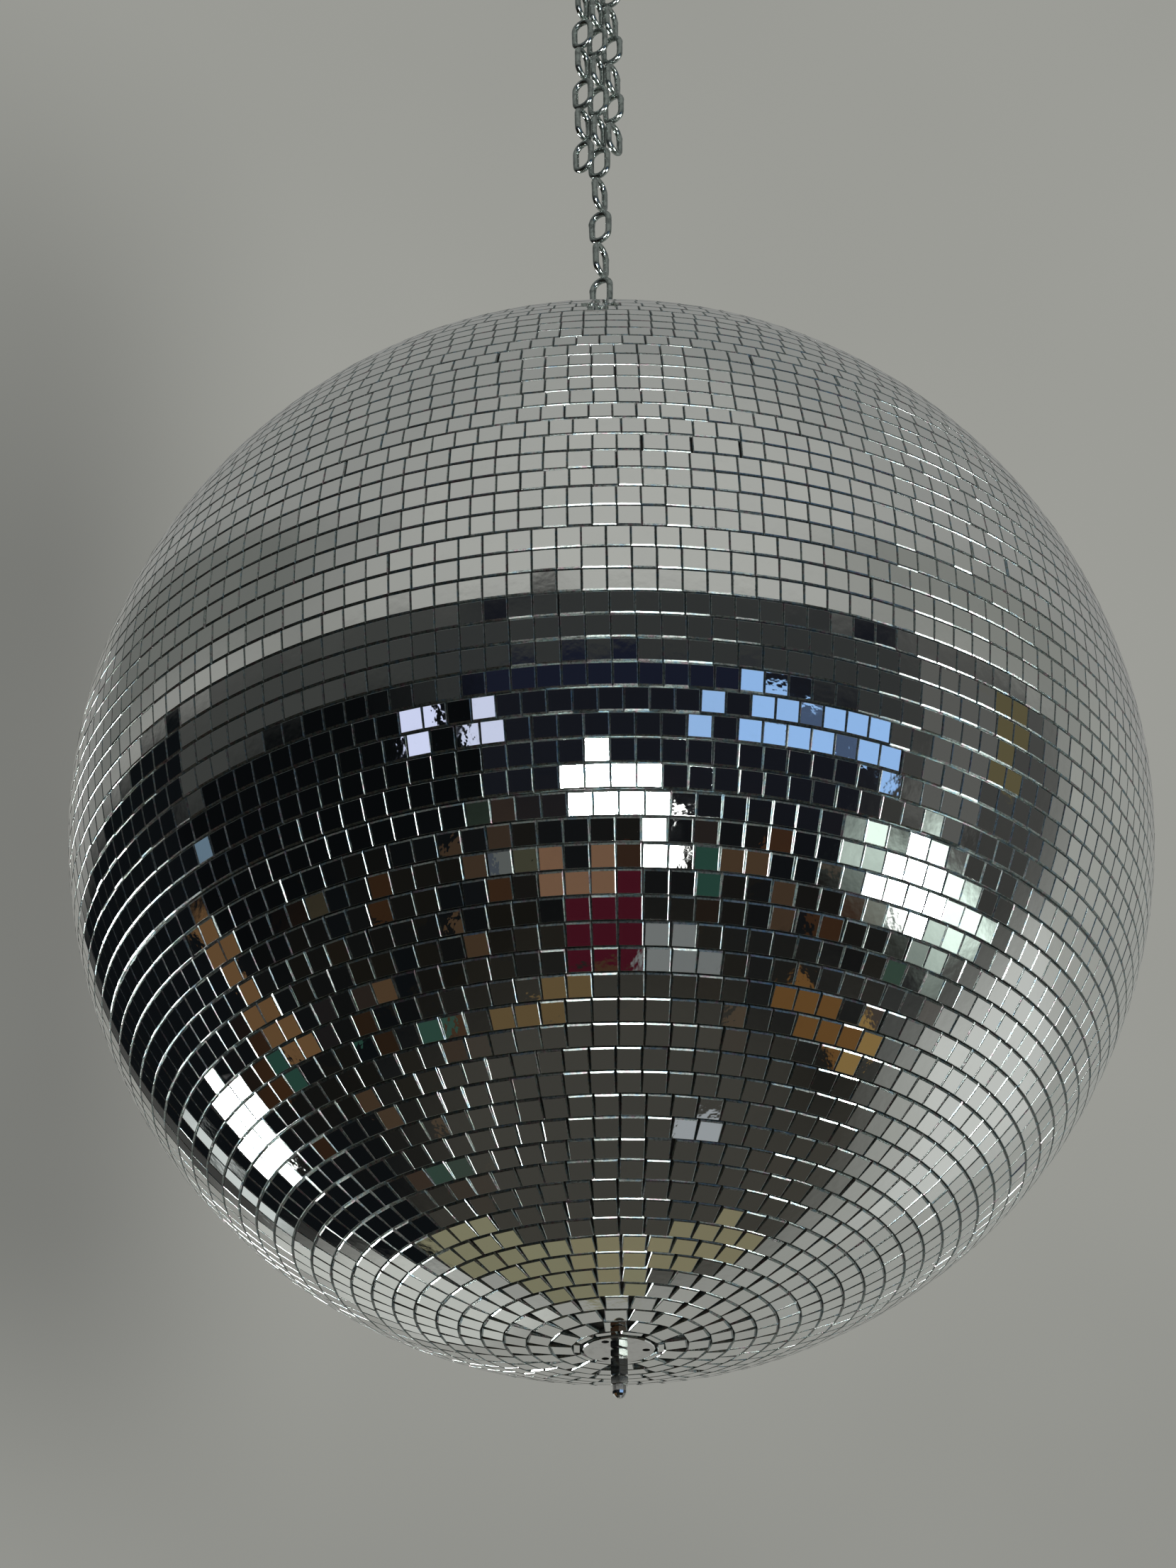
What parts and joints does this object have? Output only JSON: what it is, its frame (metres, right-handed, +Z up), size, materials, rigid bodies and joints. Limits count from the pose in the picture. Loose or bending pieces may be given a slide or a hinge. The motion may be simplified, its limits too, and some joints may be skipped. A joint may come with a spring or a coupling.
{
  "type": "mirror ball",
  "caption": "Hollow ball faced with flat mirror tiles in rows, turning on a swivel below a chain of welded links that hangs from a screw link.",
  "frame": {"origin": "where a ceiling hook bears inside the top of the screw link", "axes": "+Z up along the chain and the axis of the ball, -Y towards the room"},
  "size_m": [0.4994, 0.5, 0.9423],
  "materials": {
    "mirror_tiles": "polished silvered glass",
    "zinc_steel": "dull zinc plate",
    "polished_steel": "polished",
    "core_plastic": "matt black",
    "bronze": "plain turned"
  },
  "bodies": {
    "hanger": {"screw_link": "zinc_steel", "screw_link_sleeve": "zinc_steel", "main_link_1": "zinc_steel", "main_link_2": "zinc_steel", "main_link_3": "zinc_steel", "main_link_4": "zinc_steel", "main_link_5": "zinc_steel", "main_link_6": "zinc_steel", "main_link_7": "zinc_steel", "left_tail_link_1": "zinc_steel", "left_tail_link_2": "zinc_steel", "left_tail_link_3": "zinc_steel", "left_tail_link_4": "zinc_steel", "left_tail_link_5": "zinc_steel", "left_tail_link_6": "zinc_steel", "left_tail_link_7": "zinc_steel", "right_tail_link_1": "zinc_steel", "right_tail_link_2": "zinc_steel", "right_tail_link_3": "zinc_steel", "right_tail_link_4": "zinc_steel", "right_tail_link_5": "zinc_steel", "right_tail_link_6": "zinc_steel"},
    "drop_link_1": {"drop_link_1": "zinc_steel"},
    "drop_strand": {"drop_link_2": "zinc_steel", "drop_link_3": "zinc_steel", "drop_link_4": "zinc_steel", "drop_link_5": "zinc_steel"},
    "drop_link_6": {"drop_link_6": "zinc_steel"},
    "swivel_eye": {"swivel_eye": "zinc_steel"},
    "ball": {"swivel_housing": "polished_steel", "swivel_cap": "polished_steel", "swivel_washer": "bronze", "top_nut": "polished_steel", "top_plate": "polished_steel", "top_inner_washer": "zinc_steel", "top_inner_nut": "zinc_steel", "centre_rod": "zinc_steel", "upper_core_shell": "core_plastic", "lower_core_shell": "core_plastic", "equator_band": "core_plastic", "upper_mirror_skin": "mirror_tiles", "lower_mirror_skin": "mirror_tiles", "bottom_inner_washer": "zinc_steel", "bottom_inner_nut": "zinc_steel", "bottom_plate": "polished_steel", "bottom_nut": "polished_steel", "bottom_long_nut": "polished_steel", "bottom_cap_nut": "polished_steel"}
  },
  "joints": [
    {"name": "drop_link_1_swing", "type": "hinge", "parent": "hanger", "child": "drop_link_1", "pos_m": [0, 0, -0.21875], "axis": [0.8572, -0.515, 0], "range_deg": [-25, 25]},
    {"name": "drop_strand_swing", "type": "hinge", "parent": "drop_link_1", "child": "drop_strand", "pos_m": [0, 0, -0.24475], "axis": [0.515, 0.8572, 0], "range_deg": [-25, 25]},
    {"name": "drop_link_6_swing", "type": "hinge", "parent": "drop_strand", "child": "drop_link_6", "pos_m": [0, 0, -0.34875], "axis": [0.515, 0.8572, 0], "range_deg": [-25, 25]},
    {"name": "swivel_eye_swing", "type": "hinge", "parent": "drop_link_6", "child": "swivel_eye", "pos_m": [0, 0, -0.37475], "axis": [0.8572, -0.515, 0], "range_deg": [-25, 25]},
    {"name": "ball_spin", "type": "hinge", "parent": "swivel_eye", "child": "ball", "pos_m": [0, 0, -0.66745], "axis": [0, 0, 1], "continuous": true}
  ]
}
